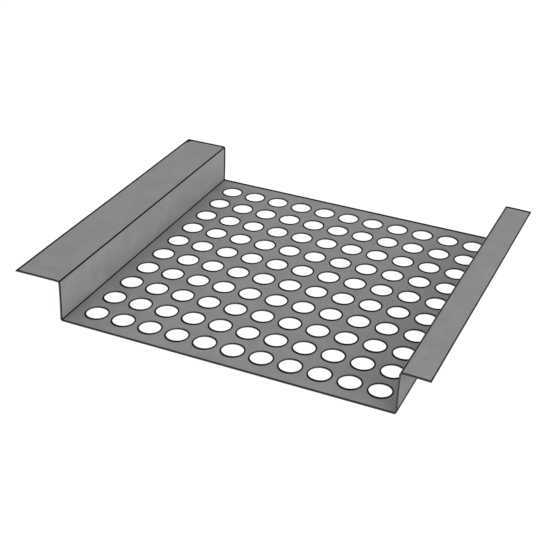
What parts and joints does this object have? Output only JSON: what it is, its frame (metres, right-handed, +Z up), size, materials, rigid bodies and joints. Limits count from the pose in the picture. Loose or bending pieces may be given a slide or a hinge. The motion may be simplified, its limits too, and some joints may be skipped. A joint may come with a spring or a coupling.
{
  "type": "continuous soffit vent",
  "caption": "Short length of metal soffit vent strip: a perforated flat face between two upright webs, each with an outturned nailing flange, one wider than the other.",
  "frame": {"origin": "middle of the perforated face's underside, halfway across the webs and along the strip", "axes": "+X across the strip towards the narrow flange, +Y along the strip away from the viewer, +Z up from the face towards the flanges"},
  "size_m": [0.1241, 0.108, 0.0131],
  "materials": {
    "sheet_metal": "galvanised steel with a dull phosphate-treated surface, matt mid grey, cut edges darker"
  },
  "bodies": {
    "root": {"vent_strip": "sheet_metal"}
  },
  "joints": []
}
